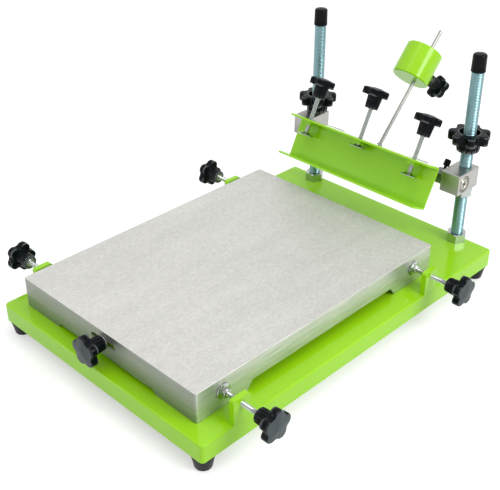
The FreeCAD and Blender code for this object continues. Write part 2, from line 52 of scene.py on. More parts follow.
MM = 0.001
UP = Vector((0, 0, 1))
ACROSS = Vector((1, 0, 0))
OUTWARDS = {"left": -ACROSS, "right": ACROSS}
CORNERS = [(end, side) for end in ("front", "rear") for side in OUTWARDS]
PRESSES = ("left", "middle", "right")
BODIES = frame["record"]["behaviour"]["bodies"]
BODY_OF = {node: body for body, members in BODIES.items() for node in members}
TRAVEL = {joint["name"]: Vector(joint["axis"]).normalized() for joint in frame["joints"]}
STEM_AXIS = TRAVEL["press_middle"]
ROD_AXIS = TRAVEL["weight_along_rod"]
LOCK_AXIS = TRAVEL["lock_release"]

# The set screw's direction about the rod, from +X towards the back
SET_SCREW_TURN = math.radians(78)
SET_SCREW_AXIS = ACROSS * math.cos(SET_SCREW_TURN) - ACROSS.cross(ROD_AXIS) * math.sin(SET_SCREW_TURN)

# Sockets of a Mix node: its inputs for numbers and for colours, and its two outputs
NUMBER_A, NUMBER_B, COLOUR_A, COLOUR_B = 2, 3, 6, 7
MIXED_NUMBER, MIXED_COLOUR = 0, 2


# Colours and node building
def linear(code):
    """sRGB hex colour as linear RGBA."""
    parts = [int(code[i:i + 2], 16) / 255 for i in (1, 3, 5)]
    return tuple(p / 12.92 if p <= 0.04045 else ((p + 0.055) / 1.055) ** 2.4 for p in parts) + (1.0,)


def add(tree, kind, inputs=None, **settings):
    """Adds a node with its own settings. An input is a value, or the socket that it is linked from."""
    made = tree.nodes.new(kind)
    for name, value in settings.items():
        setattr(made, name, value)
    for name, value in (inputs or {}).items():
        if isinstance(value, bpy.types.NodeSocket):
            tree.links.new(value, made.inputs[name])
        else:
            made.inputs[name].default_value = value
    return made


def new_finish(name):
    """New material: the material, its empty tree and its object coordinates."""
    made = bpy.data.materials.new(name)
    made.use_nodes = True
    tree = made.node_tree
    tree.nodes.clear()
    return made, tree, add(tree, "ShaderNodeTexCoord").outputs["Object"]


def surface(tree, sockets):
    """Ends a material's tree with its shader, whose sockets each get a value or a link."""
    shader = add(tree, "ShaderNodeBsdfPrincipled", sockets)
    add(tree, "ShaderNodeOutputMaterial", {"Surface": shader.outputs["BSDF"]})


def per_mm(size):
    """Noise scale whose features are about this many millimetres wide."""
    return 1.0 / (size * MM)


# Powder coat: polyester powder baked on steel. Glossy lime green with orange peel about 2 mm wide.
def powder_coat():
    made, tree, place = new_finish("lime_powder_coat")
    cloud = add(tree, "ShaderNodeTexNoise", {"Vector": place, "Scale": per_mm(60),
                                             "Detail": 2.0}).outputs["Fac"]
    shade = add(tree, "ShaderNodeMix", {"Factor": cloud, COLOUR_A: linear("#91CE10"),
                                        COLOUR_B: linear("#9AD618")}, data_type="RGBA")
    gloss = add(tree, "ShaderNodeMapRange", {"Value": cloud, "To Min": 0.11, "To Max": 0.16})
    peel = add(tree, "ShaderNodeTexNoise", {"Vector": place, "Scale": per_mm(2.2), "Detail": 1.0,
                                            "Roughness": 0.4})
    bump = add(tree, "ShaderNodeBump", {"Height": peel.outputs["Fac"], "Strength": 0.05,
                                        "Distance": 0.2 * MM})
    surface(tree, {"Base Color": shade.outputs[MIXED_COLOUR], "IOR": 1.5, "Specular IOR Level": 0.38,
                   "Roughness": gloss.outputs["Result"], "Normal": bump.outputs["Normal"]})
    return made


# Ground steel: surface-ground plate. Its top is pale and half matt with short grinding marks, and its sides
# run in long cutter lines. Its front wall carries painted shade: a dark green-grey for shadow and the reflected
# deck.
def ground_steel():
    made, tree, place = new_finish("surface_ground_steel")
    facing = add(tree, "ShaderNodeNewGeometry").outputs["Normal"]
    normal = add(tree, "ShaderNodeSeparateXYZ", {"Vector": facing}).outputs
    on_top = add(tree, "ShaderNodeMapRange", {"Value": normal["Z"], "From Min": 0.5,
                                              "From Max": 0.8}).outputs["Result"]
    # painted shade: faces turned to the front get up to 0.55 of a dark green-grey, for shadow and the reflected
    # green deck
    front_wall_shade = add(tree, "ShaderNodeMapRange", {"Value": normal["Y"], "From Min": -0.5, "From Max": -0.8,
                                                "To Max": 0.55}).outputs["Result"]

    def marks(across, along, down, detail):
        """Pattern of marks with these sizes in millimetres."""
        size = (per_mm(across), per_mm(along), per_mm(down))
        stretched = add(tree, "ShaderNodeMapping", {"Vector": place, "Scale": size}).outputs["Vector"]
        return add(tree, "ShaderNodeTexNoise", {"Vector": stretched, "Scale": 1.0, "Detail": detail,
                                                "Roughness": 0.7}).outputs["Fac"]

    grinding = add(tree, "ShaderNodeMix", {"Factor": 0.2, NUMBER_A: marks(1.6, 6, 6, 3.0),
                                           NUMBER_B: marks(26, 130, 60, 1.0)}).outputs[MIXED_NUMBER]
    milling = marks(45, 45, 1.6, 3.0)
    looks = []
    for relief, dark, light, smoothest, roughest in ((milling, "#B2B5AD", "#D6D8D0", 0.34, 0.44),
                                                     (grinding, "#BFBEBA", "#DEDDD9", 0.52, 0.62)):
        share = add(tree, "ShaderNodeMapRange", {"Value": relief, "From Min": 0.3,
                                                 "From Max": 0.7}).outputs["Result"]
        tone = add(tree, "ShaderNodeMix", {"Factor": share, COLOUR_A: linear(dark), COLOUR_B: linear(light)},
                   data_type="RGBA")
        rough = add(tree, "ShaderNodeMix", {"Factor": share, NUMBER_A: smoothest, NUMBER_B: roughest})
        looks.append((tone.outputs[MIXED_COLOUR], rough.outputs[MIXED_NUMBER]))
    (side_tone, side_rough), (top_tone, top_rough) = looks
    # the front walls take the painted shade here
    walls_with_shade = add(tree, "ShaderNodeMix", {"Factor": front_wall_shade, COLOUR_A: side_tone,
                                        COLOUR_B: linear("#4E544C")}, data_type="RGBA")
    tone = add(tree, "ShaderNodeMix", {"Factor": on_top, COLOUR_A: walls_with_shade.outputs[MIXED_COLOUR],
                                       COLOUR_B: top_tone}, data_type="RGBA")
    # its metallic values are low because a ground face scatters more than it mirrors
    metallic, rough, relief = [
        add(tree, "ShaderNodeMix", {"Factor": on_top, NUMBER_A: side, NUMBER_B: top}).outputs[MIXED_NUMBER]
        for side, top in ((0.75, 0.6), (side_rough, top_rough), (milling, grinding))]
    bump = add(tree, "ShaderNodeBump", {"Height": relief, "Strength": 0.25, "Distance": 0.05 * MM})
    surface(tree, {"Base Color": tone.outputs[MIXED_COLOUR], "Metallic": metallic, "Roughness": rough,
                   "Normal": bump.outputs["Normal"]})
    return made


# Plain metals: a colour that varies a little, fine machining marks and a roughness that wanders
def metal(name, dark, light, rough, marks_mm, along=(1, 1, 1), bump_strength=0.05):
    made, tree, place = new_finish(name)
    stretched = add(tree, "ShaderNodeMapping", {"Vector": place, "Scale": along}).outputs["Vector"]
    marks = add(tree, "ShaderNodeTexNoise", {"Vector": stretched, "Scale": per_mm(marks_mm),
                                             "Detail": 2.0}).outputs["Fac"]
    tone = add(tree, "ShaderNodeMix", {"Factor": marks, COLOUR_A: linear(dark), COLOUR_B: linear(light)},
               data_type="RGBA")
    wander = add(tree, "ShaderNodeMapRange", {"Value": marks, "To Min": rough[0], "To Max": rough[1]})
    bump = add(tree, "ShaderNodeBump", {"Height": marks, "Strength": bump_strength, "Distance": 0.1 * MM})
    surface(tree, {"Base Color": tone.outputs[MIXED_COLOUR], "Metallic": 1.0,
                   "Roughness": wander.outputs["Result"], "Normal": bump.outputs["Normal"]})
    return made


# Plastics and rubber: one deep colour, broken by fine moulding texture and handling marks. Where an edge
# colour is given, the outer edges get a painted highlight in that colour and a higher specular level.
def moulded(name, dark, light, rough, grain_mm, bump_strength, specular, edge=None):
    made, tree, place = new_finish(name)
    cloud = add(tree, "ShaderNodeTexNoise", {"Vector": place, "Scale": per_mm(12),
                                             "Detail": 2.0}).outputs["Fac"]
    grain = add(tree, "ShaderNodeTexNoise", {"Vector": place, "Scale": per_mm(grain_mm), "Detail": 2.0})
    tone = add(tree, "ShaderNodeMix", {"Factor": cloud, COLOUR_A: linear(dark), COLOUR_B: linear(light)},
               data_type="RGBA")
    if edge:
        # painted highlight: convex edges turn to the light edge colour
        convex = add(tree, "ShaderNodeNewGeometry").outputs["Pointiness"]
        painted_edge_highlight = add(tree, "ShaderNodeMapRange", {"Value": convex, "From Min": 0.53,
                                                  "From Max": 0.58}).outputs["Result"]
        tone = add(tree, "ShaderNodeMix", {"Factor": painted_edge_highlight, COLOUR_A: tone.outputs[MIXED_COLOUR],
                                           COLOUR_B: linear(edge)}, data_type="RGBA")
        specular = add(tree, "ShaderNodeMapRange", {"Value": painted_edge_highlight, "To Min": specular,
                                                    "To Max": 1.0}).outputs["Result"]
    wander = add(tree, "ShaderNodeMapRange", {"Value": cloud, "To Min": rough[0], "To Max": rough[1]})
    bump = add(tree, "ShaderNodeBump", {"Height": grain.outputs["Fac"], "Strength": bump_strength,
                                        "Distance": 0.1 * MM})
    surface(tree, {"Base Color": tone.outputs[MIXED_COLOUR], "Specular IOR Level": specular,
                   "Roughness": wander.outputs["Result"], "Normal": bump.outputs["Normal"]})
    return made


PAINT = powder_coat()
PLATE = ground_steel()
# Blue zinc plate: clear chromate over zinc gives the posts a cool, slightly green tint
ZINC = metal("blue_zinc_plate", "#7B9CA2", "#8CACB1", (0.26, 0.32), 12.0, bump_strength=0.02)
# Bright zinc on the small screws, the washers and all nuts: whiter and shinier
BRIGHT = metal("bright_zinc_plate", "#A9AFAB", "#C3C8C3", (0.14, 0.22), 8.0, bump_strength=0.02)
# Drawn stainless rod: smooth, with a soft shine along its length
ROD = metal("drawn_stainless_rod", "#9A9D97", "#A8ABA4", (0.36, 0.42), 8.0, bump_strength=0.01)
# Milled aluminium: matt silver with cutter lines
ALUMINIUM = metal("milled_aluminium", "#A6A5A1", "#B9B8B4", (0.28, 0.38), 0.8, along=(0.08, 1, 1),
                  bump_strength=0.12)
# Bearing steel: ground rings
BEARING = metal("ground_bearing_steel", "#A9A69C", "#C2BFB4", (0.14, 0.24), 1.0)
# Shield grooves, the gap round the bearing seat and the drilled holes: painted shade, dark steel where these
# recesses lie in shadow
SHADE_STEEL = metal("dark_steel_painted_shade", "#1E1C1B", "#2C2A28", (0.35, 0.5), 1.5)
# Black oxide on the collar's thumb screw: satin black steel
OXIDE = metal("black_oxide_steel", "#161618", "#202023", (0.28, 0.38), 1.2)
# The collar itself: oxide rubbed back to grey steel, which picks up the green of the channel beside it
WORN_OXIDE = metal("worn_black_oxide", "#74777A", "#8A8D8F", (0.2, 0.3), 1.2)
# Knobs and hand wheels: black glass-filled nylon with a painted highlight on its outer edges
KNOB = moulded("black_nylon", "#04090C", "#0A1014", (0.1, 0.17), 0.6, 0.02, 0.09, edge="#7E8386")
# The face of a star knob: the same nylon, finely grained, whose grey colour is a painted sheen
KNOB_FACE_SHEEN = moulded("grained_black_nylon_painted_sheen", "#394144", "#424A4D", (0.4, 0.5), 0.35, 0.12, 0.25)
# Caps: dipped PVC, wet-looking
VINYL = moulded("dipped_pvc", "#08060A", "#0D0A0F", (0.08, 0.14), 5.0, 0.04, 0.12)
# Feet: natural rubber with a dull bloom
RUBBER = moulded("black_rubber", "#08090A", "#121315", (0.38, 0.52), 0.5, 0.2, 0.25)


# Mesh making
def at(mesh, start, axis):
    """Moves a mesh drawn along +Z so that its origin is at start and +Z points along axis."""
    turn = UP.rotation_difference(Vector(axis)).to_matrix().to_4x4()
    mesh.transform(Matrix.Translation(Vector(start)) @ turn)
    return mesh


def in_mm(points):
    """A profile given in millimetres, in metres."""
    return [(radius * MM, height * MM) for radius, height in points]


def turned(profile, segments=48, loop=False):
    """Solid of revolution about +Z from (radius, height) points, closed at its poles or looped as a ring."""
    on_axis = 1e-7
    bm = bmesh.new()
    rings = []
    for radius, height in profile:
        if radius < on_axis:
            rings.append([bm.verts.new((0, 0, height))])
        else:
            turns = [2 * math.pi * i / segments for i in range(segments)]
            rings.append([bm.verts.new((radius * math.cos(t), radius * math.sin(t), height)) for t in turns])
    for low, high in zip(rings, rings[1:] + (rings[:1] if loop else [])):
        for i in range(segments):
            j = (i + 1) % segments
            corners = [low[i % len(low)], low[j % len(low)], high[j % len(high)], high[i % len(high)]]
            corners = list(dict.fromkeys(corners))
            if len(corners) > 2:
                bm.faces.new(corners)
    return settled(bm, sharp=35)


def knurled(profile, ribs, depth):
    """Turned head whose widest part is cut into straight ribs."""
    widest = max(radius for radius, height in profile)
    points_a_rib = 4
    mesh = turned(profile, ribs * points_a_rib)
    for vertex in mesh.vertices:
        reach = math.hypot(vertex.co.x, vertex.co.y)
        turn = math.atan2(vertex.co.y, vertex.co.x)
        point = round(turn / (2 * math.pi) * ribs * points_a_rib)
        if reach > widest * 0.99 and point % points_a_rib in (0, 1):
            vertex.co.x *= 1 - depth / reach
            vertex.co.y *= 1 - depth / reach
    smooth(mesh, sharp=25)
    return mesh


def settled(bm, sharp):
    """Plain mesh from bmesh data, smooth but for edges sharper than so many degrees."""
    bmesh.ops.recalc_face_normals(bm, faces=bm.faces)
    mesh = bpy.data.meshes.new("made")
    bm.to_mesh(mesh)
    bm.free()
    smooth(mesh, sharp)
    return mesh


def smooth(mesh, sharp):
    """Shades a mesh smooth but for edges sharper than so many degrees."""
    mesh.polygons.foreach_set("use_smooth", [True] * len(mesh.polygons))
    mesh.set_sharp_from_angle(angle=math.radians(sharp))
    mesh.update()


def rounded(radius, low, high, edge, steps=4):
    """(radius, height) points of a disc with both rims rounded."""
    turns = [math.pi / 2 * i / steps for i in range(steps + 1)]
    lower = [(radius - edge + edge * math.sin(t), low + edge - edge * math.cos(t)) for t in turns]
    upper = [(radius - edge + edge * math.cos(t), high - edge + edge * math.sin(t)) for t in turns]
    return [(0, low)] + lower + upper + [(0, high)]


def hex_nut(flats, thick, low):
    """Hexagon nut along +Z from low, whose corners are turned down to a chamfer at both faces."""
    points, face_r, bevel = 36, flats / 2 * 0.96, 0.25 * MM
    beyond = flats / math.sqrt(3) - flats / 2
    drop = beyond * math.tan(math.radians(30))
    bm = bmesh.new()
    rings = []
    for height, inwards, on_face in ((low, 1, True), (low, 1, False), (low + thick, -1, False),
                                     (low + thick, -1, True)):
        ring = []
        for i in range(points):
            turn = 2 * math.pi * i / points
            away = (turn + math.pi / 6) % (math.pi / 3) - math.pi / 6
            outline = flats / 2 / math.cos(math.pi / 6 - abs(away))
            cut = drop * (outline - flats / 2) / beyond + bevel
            r, z = (face_r, height) if on_face else (outline, height + inwards * cut)
            ring.append(bm.verts.new((r * math.cos(turn), r * math.sin(turn), z)))
        rings.append(ring)
    for a, b in zip(rings, rings[1:]):
        for i in range(points):
            j = (i + 1) % points
            bm.faces.new((a[i], a[j], b[j], b[i]))
    bm.faces.new(rings[0][::-1])
    bm.faces.new(rings[-1])
    return settled(bm, sharp=20)


def joined(name, parts):
    """One mesh from several (mesh, finish) pairs. A mesh without a finish keeps its own."""
    bm = bmesh.new()
    out = bpy.data.meshes.new(name)
    for mesh, finish in parts:
        own = [finish] if finish else list(mesh.materials)
        for material in own:
            if material.name not in out.materials:
                out.materials.append(material)
        start = len(bm.faces)
        bm.from_mesh(mesh)
        bm.faces.ensure_lookup_table()
        for face in bm.faces[start:]:
            face.material_index = out.materials.find((finish or own[face.material_index]).name)
        bpy.data.meshes.remove(mesh)
    bm.to_mesh(out)
    bm.free()
    return out


def piece(name, mesh, node):
    """Puts a finished mesh in the scene in the place of a CAD node, riding on that node's body."""
    made = bpy.data.objects.new(name, mesh)
    bpy.context.scene.collection.objects.link(made)
    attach(made, BODY_OF[node])
    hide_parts(node)


# Geometry Nodes: each tree grows one repeating form from named sizes
SEAM_GAP = 0.004 * MM       # points of a wrapped grid this close are one point


def new_tree(name, sizes):
    """New tree with these sizes and their defaults: the tree, its inputs by name and its output node."""
    tree = bpy.data.node_groups.new(name, "GeometryNodeTree")
    tree.interface.new_socket("Geometry", in_out="OUTPUT", socket_type="NodeSocketGeometry")
    for label, value in sizes.items():
        kind = "NodeSocketInt" if isinstance(value, int) else "NodeSocketFloat"
        tree.interface.new_socket(label, in_out="INPUT", socket_type=kind).default_value = value
    tree.interface.new_socket("Finish", in_out="INPUT", socket_type="NodeSocketMaterial")
    entry = add(tree, "NodeGroupInput").outputs
    known = {label: entry[label] for label in list(sizes) + ["Finish"]}
    return tree, known, add(tree, "NodeGroupOutput")


def grown(tree, finish, **sizes):
    """Plain mesh that a tree makes with these sizes."""
    carrier = bpy.data.objects.new("carrier", bpy.data.meshes.new("carrier"))
    bpy.context.scene.collection.objects.link(carrier)
    modifier = carrier.modifiers.new("grow", "NODES")
    modifier.node_group = tree
    wanted = {name.replace("_", " "): value for name, value in sizes.items()}
    for item in tree.interface.items_tree:
        if item.item_type == "SOCKET" and item.in_out == "INPUT":
            if item.name == "Finish":
                modifier[item.identifier] = finish
            elif item.name in wanted:
                modifier[item.identifier] = wanted.pop(item.name)
    assert not wanted, wanted
    evaluated = carrier.evaluated_get(bpy.context.evaluated_depsgraph_get())
    mesh = bpy.data.meshes.new_from_object(evaluated)
    carrier.modifiers.clear()
    bpy.data.objects.remove(carrier)
    return mesh


def work_out(tree, known, *steps):
    """Adds sums to a tree. A step names its result, its operation, and the numbers or names that go in."""
    for name, operation, *terms in steps:
        values = {i: known[term] if isinstance(term, str) else term for i, term in enumerate(terms)}
        known[name] = add(tree, "ShaderNodeMath", values, operation=operation).outputs[0]


def look_up(tree, source, values):
    """Adds a table of values at even shares from 0 to 1, joined by straight lines."""
    curve = add(tree, "ShaderNodeFloatCurve", {"Value": source})
    table = curve.mapping.curves[0].points
    table[0].location, table[-1].location = (0.0, values[0]), (1.0, values[-1])
    for i, value in enumerate(values[1:-1], 1):
        table.new(i / (len(values) - 1), value)
    for point in table:
        point.handle_type = "VECTOR"
    curve.mapping.update()
    return curve.outputs[0]


def sheet_of_rows(tree, known):
    """Grid that a tree wraps round an axis, with each point's share of the turn and its row."""
    grid = add(tree, "GeometryNodeMeshGrid", {"Size X": 1.0, "Size Y": 1.0, "Vertices X": known["points"],
                                              "Vertices Y": known["rows"]})
    position = add(tree, "GeometryNodeInputPosition").outputs["Position"]
    split = add(tree, "ShaderNodeSeparateXYZ", {"Vector": position}).outputs
    known["grid x"], known["grid y"] = split["X"], split["Y"]
    work_out(tree, known, ("share", "ADD", "grid x", 0.5), ("up", "ADD", "grid y", 0.5),
             ("last row", "SUBTRACT", "rows", 1.0), ("row place", "MULTIPLY", "up", "last row"),
             ("row", "ROUND", "row place"), ("share up", "DIVIDE", "row", "last row"),
             ("turn", "MULTIPLY", "share", 2 * math.pi))
    return grid.outputs["Mesh"]


def wrap(tree, known, mesh, out):
    """Sets a grid's points round the axis, closes its seam and gives it its finish."""
    work_out(tree, known, ("cos", "COSINE", "turn"), ("sin", "SINE", "turn"),
             ("x", "MULTIPLY", "radius", "cos"), ("y", "MULTIPLY", "radius", "sin"))
    place = add(tree, "ShaderNodeCombineXYZ", {"X": known["x"], "Y": known["y"], "Z": known["height"]})
    moved = add(tree, "GeometryNodeSetPosition", {"Geometry": mesh, "Position": place.outputs["Vector"]})
    closed = add(tree, "GeometryNodeMergeByDistance", {"Geometry": moved.outputs["Geometry"],
                                                       "Distance": SEAM_GAP})
    real = add(tree, "GeometryNodeRealizeInstances", {"Geometry": closed.outputs["Geometry"]})
    coated = add(tree, "GeometryNodeSetMaterial", {"Geometry": real.outputs["Geometry"],
                                                   "Material": known["Finish"]})
    tree.links.new(coated.outputs["Geometry"], out.inputs["Geometry"])


def thread_tree():
    """Threaded rod: four rows of points a turn, sheared into a helix, with a chamfer at each end."""
    tree, known, out = new_tree("threaded_rod", {"Length": 0.1, "Radius": 0.008, "Pitch": 0.002,
                                                 "Depth": 0.001, "Around": 24})
    rows_a_turn, ends = 4.0, 2.0
    work_out(tree, known, ("pitches", "DIVIDE", "Length", "Pitch"), ("turns", "CEIL", "pitches"),
             ("with ends", "ADD", "turns", ends), ("steps", "MULTIPLY", "with ends", rows_a_turn),
             ("rows", "ADD", "steps", 1.0), ("points", "ADD", "Around", 1.0))
    mesh = sheet_of_rows(tree, known)
    work_out(tree, known, ("rows in turns", "DIVIDE", "row", rows_a_turn),
             ("whole", "FLOOR", "rows in turns"), ("rows in wholes", "MULTIPLY", "whole", rows_a_turn),
             ("phase", "SUBTRACT", "row", "rows in wholes"),
             ("phase share", "DIVIDE", "phase", rows_a_turn - 1.0))
    # a turn's rows: the crest takes 0.14 of the pitch, the first flank ends at 0.46 and the root at 0.68
    known["flank"] = look_up(tree, known["phase share"], (0.0, 0.14, 0.46, 0.68))
    # the last two rows of a turn are its root; both ends are chamfered past the root and closed on the axis
    work_out(tree, known, ("advance", "ADD", "whole", "flank"), ("behind", "SUBTRACT", "share", 1.0),
             ("wound", "ADD", "advance", "behind"), ("raw", "MULTIPLY", "wound", "Pitch"),
             ("above start", "MAXIMUM", "raw", 0.0), ("height", "MINIMUM", "above start", "Length"),
             ("in root", "GREATER_THAN", "phase", 1.5), ("cut", "MULTIPLY", "in root", "Depth"),
             ("profile", "SUBTRACT", "Radius", "cut"), ("end cut", "MULTIPLY", "Depth", 1.1),
             ("small", "SUBTRACT", "Radius", "end cut"), ("low end", "ADD", "small", "height"),
             ("to go", "SUBTRACT", "Length", "height"), ("high end", "ADD", "small", "to go"),
             ("ends", "MINIMUM", "low end", "high end"), ("eased", "MINIMUM", "profile", "ends"),
             ("first", "LESS_THAN", "row", 0.5), ("near last", "SUBTRACT", "last row", 0.5),
             ("final", "GREATER_THAN", "row", "near last"), ("pole", "MAXIMUM", "first", "final"),
             ("open", "SUBTRACT", 1.0, "pole"), ("radius", "MULTIPLY", "eased", "open"))
    wrap(tree, known, mesh, out)
    return tree


def lobed_tree(name, rows):
    """Knob or hand wheel: rows of points up its profile, ribbed at the hub and lobed at the head."""
    tree, known, out = new_tree(name, {
        "Lobes": 5, "Lobe Reach": 0.013, "Lobe Round": 0.0046, "Hollow Reach": 0.02, "Hollow Round": 0.008,
        "Meeting Turn": 0.2, "Radius": 0.018, "Hub Radius": 0.009, "Height": 0.025, "Rim": 0.0016, "Ribs": 12,
        "Rib Depth": 0.0006, "Around Lobe": 24})
    known["rows"] = add(tree, "FunctionNodeInputInt", integer=len(rows)).outputs["Integer"]
    work_out(tree, known, ("around", "MULTIPLY", "Lobes", "Around Lobe"), ("points", "ADD", "around", 1.0))
    mesh = sheet_of_rows(tree, known)
    # the ray from the axis meets the lobe's circle first, and the hollow's circle past the meeting turn
    work_out(tree, known, ("sector", "DIVIDE", 2 * math.pi, "Lobes"),
             ("in sectors", "DIVIDE", "turn", "sector"), ("nearest", "ROUND", "in sectors"),
             ("off", "SUBTRACT", "in sectors", "nearest"),
             ("off size", "ABSOLUTE", "off"), ("angle", "MULTIPLY", "off size", "sector"),
             ("half sector", "MULTIPLY", "sector", 0.5), ("rest", "SUBTRACT", "half sector", "angle"))
    for part, turn_name in (("Lobe", "angle"), ("Hollow", "rest")):
        work_out(tree, known, ("s", "SINE", turn_name), ("side", "MULTIPLY", part + " Reach", "s"),
                 ("side2", "MULTIPLY", "side", "side"),
                 ("round2", "MULTIPLY", part + " Round", part + " Round"),
                 ("left", "SUBTRACT", "round2", "side2"), ("held", "MAXIMUM", "left", 0.0),
                 (part + " root", "SQRT", "held"), ("c", "COSINE", turn_name),
                 (part + " along", "MULTIPLY", part + " Reach", "c"))
    for label, column in zip(("height share", "lobed", "inset", "reach", "filled", "ribbed"), zip(*rows)):
        known[label] = look_up(tree, known["share up"], column)
    work_out(tree, known, ("on lobe", "ADD", "Lobe along", "Lobe root"),
             ("on hollow", "SUBTRACT", "Hollow along", "Hollow root"),
             ("past", "GREATER_THAN", "angle", "Meeting Turn"), ("before", "SUBTRACT", 1.0, "past"),
             ("lobe part", "MULTIPLY", "on lobe", "before"), ("hollow part", "MULTIPLY", "on hollow", "past"),
             ("outline", "ADD", "lobe part", "hollow part"), ("short of", "SUBTRACT", "Radius", "outline"),
             ("fill", "MULTIPLY", "short of", "filled"), ("full outline", "ADD", "outline", "fill"),
             ("half ribs", "MULTIPLY", "Ribs", 0.5), ("rib turn", "MULTIPLY", "turn", "half ribs"),
             ("rib sine", "SINE", "rib turn"), ("rib size", "ABSOLUTE", "rib sine"),
             ("groove", "POWER", "rib size", 6.0), ("groove depth", "MULTIPLY", "groove", "Rib Depth"),
             ("shown groove", "MULTIPLY", "groove depth", "ribbed"),
             ("hub", "SUBTRACT", "Hub Radius", "shown groove"), ("unlobed", "SUBTRACT", 1.0, "lobed"),
             ("lobed part", "MULTIPLY", "full outline", "lobed"),
             ("hub part", "MULTIPLY", "hub", "unlobed"), ("mixed", "ADD", "lobed part", "hub part"),
             ("in from rim", "MULTIPLY", "Rim", "inset"), ("inner", "SUBTRACT", "mixed", "in from rim"),
             ("radius", "MULTIPLY", "inner", "reach"), ("height", "MULTIPLY", "Height", "height share"))
    wrap(tree, known, mesh, out)
    return tree


# Rows from the hub face up: share of the height, how lobed, how many rims inward, share of the reach from the
# axis, how far the hollows are filled, and how ribbed
KNOB_PROFILE = [
    (0.0, 0.0, 0.0, 0.0, 0.0, 0.0), (0.0, 0.0, 0.5, 0.88, 0.0, 0.3), (0.015, 0.0, 0.1, 0.89, 0.0, 1.0),
    (0.03, 0.0, 0.0, 0.9, 0.0, 1.0), (0.3, 0.0, 0.0, 0.95, 0.0, 1.0), (0.55, 0.0, 0.0, 1.0, 0.0, 1.0),
    (0.575, 0.04, 0.0, 1.0, 0.0, 0.7), (0.589, 0.14, 0.0, 1.0, 0.0, 0.2), (0.589, 1.0, 0.8, 1.0, 0.0, 0.0),
    (0.596, 1.0, 0.25, 1.0, 0.0, 0.0), (0.615, 1.0, 0.0, 1.0, 0.0, 0.0), (0.74, 1.0, 0.0, 1.0, 0.15, 0.0),
    (0.87, 1.0, 0.0, 1.0, 0.3, 0.0), (0.893, 1.0, 0.1, 1.0, 0.32, 0.0), (0.909, 1.0, 0.38, 1.0, 0.34, 0.0),
    (0.919, 1.0, 0.85, 1.0, 0.36, 0.0), (0.927, 1.0, 1.4, 1.0, 0.36, 0.0), (0.945, 0.9, 1.4, 0.84, 0.4, 0.0),
    (0.968, 0.6, 1.0, 0.68, 0.4, 0.0), (0.986, 0.3, 0.0, 0.5, 0.0, 0.0), (0.996, 0.0, 0.0, 0.5, 0.0, 0.0),
    (1.0, 0.0, 0.0, 0.0, 0.0, 0.0)]
WHEEL_PROFILE = [
    (0.0, 0.0, 0.0, 0.0, 0.0, 0.0), (0.0, 0.0, 0.4, 0.93, 0.0, 0.3), (0.02, 0.0, 0.0, 0.94, 0.0, 1.0),
    (0.27, 0.0, 0.0, 0.97, 0.0, 1.0), (0.5, 0.0, 0.0, 1.0, 0.0, 1.0), (0.52, 0.04, 0.0, 1.0, 0.0, 0.6),
    (0.5294, 0.12, 0.0, 1.0, 0.0, 0.0), (0.5294, 1.0, 0.5, 1.0, 0.0, 0.0), (0.536, 1.0, 0.15, 1.0, 0.0, 0.0),
    (0.556, 1.0, 0.0, 1.0, 0.0, 0.0), (0.72, 1.0, 0.0, 1.0, 0.0, 0.0), (0.91, 1.0, 0.0, 1.0, 0.0, 0.0),
    (0.945, 1.0, 0.1, 1.0, 0.05, 0.0), (0.974, 1.0, 0.3, 1.0, 0.08, 0.0), (0.993, 1.0, 0.68, 1.0, 0.1, 0.0),
    (1.0, 1.0, 1.15, 1.0, 0.1, 0.0), (1.0, 0.3, 0.3, 0.97, 0.0, 0.0), (0.997, 0.0, 0.0, 0.87, 0.0, 0.0),
    (0.98, 0.0, 0.0, 0.835, 0.0, 0.0), (0.75, 0.0, 0.0, 0.8, 0.0, 0.0), (0.7255, 0.0, 0.0, 0.77, 0.0, 0.0),
    (0.7255, 0.0, 0.0, 0.4, 0.0, 0.0), (0.7255, 0.0, 0.0, 0.0, 0.0, 0.0)]

THREAD = thread_tree()
KNOB_FORM = lobed_tree("star_knob", KNOB_PROFILE)
WHEEL_FORM = lobed_tree("hand_wheel", WHEEL_PROFILE)


def lobed(form, radius, valley, lobe_r, lobes, hub_r, height, rim, ribs, rib_depth, turn=0.0):
    """Knob along +Z from its hub face, its lobes and hollows tangent arcs. A star knob's face is grained, with a
    painted grey sheen.
    """
    half = math.pi / lobes
    lobe_at = radius - lobe_r
    reach = lobe_at * math.cos(half)
    hollow_r = ((valley ** 2 + lobe_at ** 2 - 2 * valley * reach - lobe_r ** 2)
                / (2 * (lobe_r + reach - valley)))
    hollow_at = valley + hollow_r
    lobe, hollow = Vector((lobe_at, 0)), Vector((hollow_at * math.cos(half), hollow_at * math.sin(half)))
    touch = lobe + (hollow - lobe).normalized() * lobe_r
    mesh = grown(form, KNOB, Lobes=lobes, Lobe_Reach=lobe_at, Lobe_Round=lobe_r, Hollow_Reach=hollow_at,
                 Hollow_Round=hollow_r, Meeting_Turn=math.atan2(touch.y, touch.x), Radius=radius,
                 Hub_Radius=hub_r, Height=height, Rim=rim, Ribs=ribs, Rib_Depth=rib_depth, Around_Lobe=24)
    smooth(mesh, sharp=38)
    mesh.transform(Matrix.Rotation(turn, 4, "Z"))
    mesh.materials.clear()
    mesh.materials.append(KNOB)
    # the top face gets the nylon with the painted grey sheen
    if form == KNOB_FORM:
        mesh.materials.append(KNOB_FACE_SHEEN)
        for face in mesh.polygons:
            face.material_index = int(face.normal.z > 0.9 and face.center.z > height * 0.9)
    return mesh


def threaded(radius, length, pitch, depth, finish, around):
    """Threaded rod along +Z with so many points around it."""
    mesh = grown(THREAD, finish, Length=length, Radius=radius, Pitch=pitch, Depth=depth, Around=around)
    smooth(mesh, sharp=25)
    return mesh


def m6(length):
    """M6 thread, whose depth is drawn a little shallow."""
    return threaded(3 * MM, length, 1 * MM, 0.35 * MM, BRIGHT, around=16)


